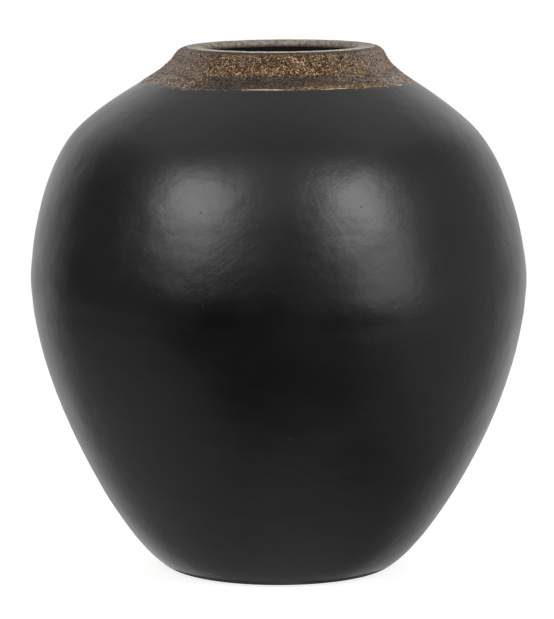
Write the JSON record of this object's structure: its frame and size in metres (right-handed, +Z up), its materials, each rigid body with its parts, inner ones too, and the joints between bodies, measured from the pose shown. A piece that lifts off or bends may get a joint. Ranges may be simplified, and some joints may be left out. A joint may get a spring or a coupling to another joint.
{
  "type": "clay pot",
  "caption": "Round-bellied black clay pot with a small foot, high shoulder, gritty coated neck and a thick rolled lip round an open mouth.",
  "frame": {"origin": "centre of the foot, on the table", "axes": "+Z up along the pot's axis, -Y towards the side seen first"},
  "size_m": [0.3208, 0.3208, 0.34],
  "materials": {
    "bare_clay": "smoke-fired dark grey clay, wiped smooth but unpolished, matt",
    "burnished_clay": "black clay skin rubbed with a stone, satin, with faint rubbing marks",
    "grit_coat": "coarse brown grit with bronze and gold grains, chipped to pale clay at its lower edge"
  },
  "bodies": {
    "root": {"base_slab": "bare_clay", "foot_course": "bare_clay", "lower_course": "bare_clay", "haunch_course": "bare_clay", "belly_course": "bare_clay", "shoulder_course": "bare_clay", "neck_course": "bare_clay", "lip_roll": "bare_clay", "burnished_skin": "burnished_clay", "neck_coat": "grit_coat"}
  },
  "joints": []
}
